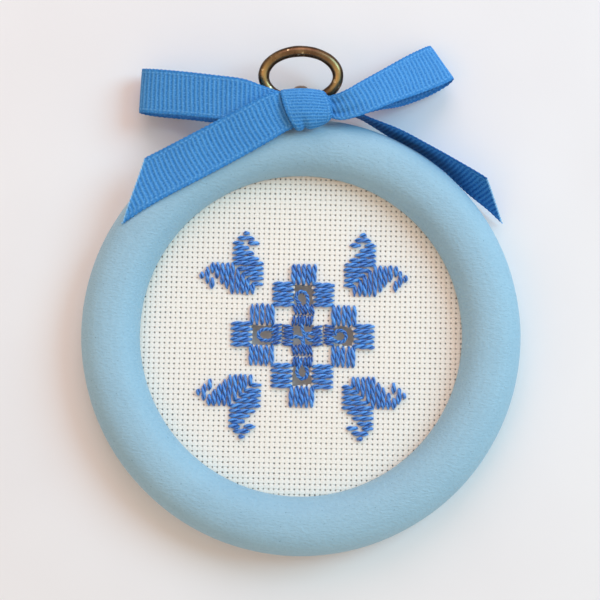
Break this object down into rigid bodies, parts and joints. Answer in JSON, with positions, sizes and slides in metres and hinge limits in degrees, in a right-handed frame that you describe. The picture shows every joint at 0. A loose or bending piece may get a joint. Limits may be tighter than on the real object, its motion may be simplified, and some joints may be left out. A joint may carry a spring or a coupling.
{
  "type": "embroidery hoop frame",
  "caption": "Round embroidery hoop lying face up, with cut-work embroidery on evenweave cloth, a brass hanging ring on a screw eye and a tied ribbon bow.",
  "frame": {"origin": "middle of the footprint, on the surface that the hoop's back rests on", "axes": "+Z out of the embroidered front, +Y from the hoop's centre towards the hanging ring, +X to the right seen from the front"},
  "size_m": [0.1, 0.1181, 0.0156],
  "materials": {
    "hoop_blue": "matt pale blue, brushed along the ring",
    "inner_hoop_white": "matt off-white",
    "evenweave_cloth": "off-white basket weave with open holes",
    "blue_thread": "two-ply pearl cotton, slight sheen",
    "blue_ribbon": "ribbed grosgrain, low sheen",
    "antique_brass": "dark antique plating, rubbed bright on the bends"
  },
  "bodies": {
    "inner_frame": {"inner_hoop": "inner_hoop_white", "embroidery_cloth": "evenweave_cloth", "stitch_block_01": "blue_thread", "stitch_block_02": "blue_thread", "stitch_block_03": "blue_thread", "stitch_block_04": "blue_thread", "stitch_block_05": "blue_thread", "stitch_block_06": "blue_thread", "stitch_block_07": "blue_thread", "stitch_block_08": "blue_thread", "stitch_block_09": "blue_thread", "stitch_block_10": "blue_thread", "stitch_block_11": "blue_thread", "stitch_block_12": "blue_thread", "woven_bar_top": "blue_thread", "woven_bar_bottom": "blue_thread", "woven_bar_left": "blue_thread", "woven_bar_right": "blue_thread", "picot_top": "blue_thread", "picot_bottom": "blue_thread", "picot_left": "blue_thread", "picot_right": "blue_thread", "middle_filling": "blue_thread", "motif_top_left_upright": "blue_thread", "motif_top_left_level": "blue_thread", "motif_top_right_upright": "blue_thread", "motif_top_right_level": "blue_thread", "motif_bottom_left_upright": "blue_thread", "motif_bottom_left_level": "blue_thread", "motif_bottom_right_upright": "blue_thread", "motif_bottom_right_level": "blue_thread"},
    "outer_frame": {"outer_hoop": "hoop_blue", "screw_eye": "antique_brass", "bow_knot": "blue_ribbon", "bow_left_loop": "blue_ribbon", "bow_right_loop": "blue_ribbon", "bow_left_tail": "blue_ribbon", "bow_right_tail": "blue_ribbon", "bow_tie_strand": "blue_ribbon"},
    "ring": {"hanging_ring": "antique_brass"}
  },
  "joints": [
    {"name": "outer_hoop_lift", "type": "slide", "parent": "inner_frame", "child": "outer_frame", "axis": [0, 0, 1], "range_m": [0, 0.03]},
    {"name": "hanging_ring_swing", "type": "hinge", "parent": "outer_frame", "child": "ring", "pos_m": [0, 0.0452, 0.006], "axis": [1, 0, 0], "range_deg": [-40, 5]}
  ]
}
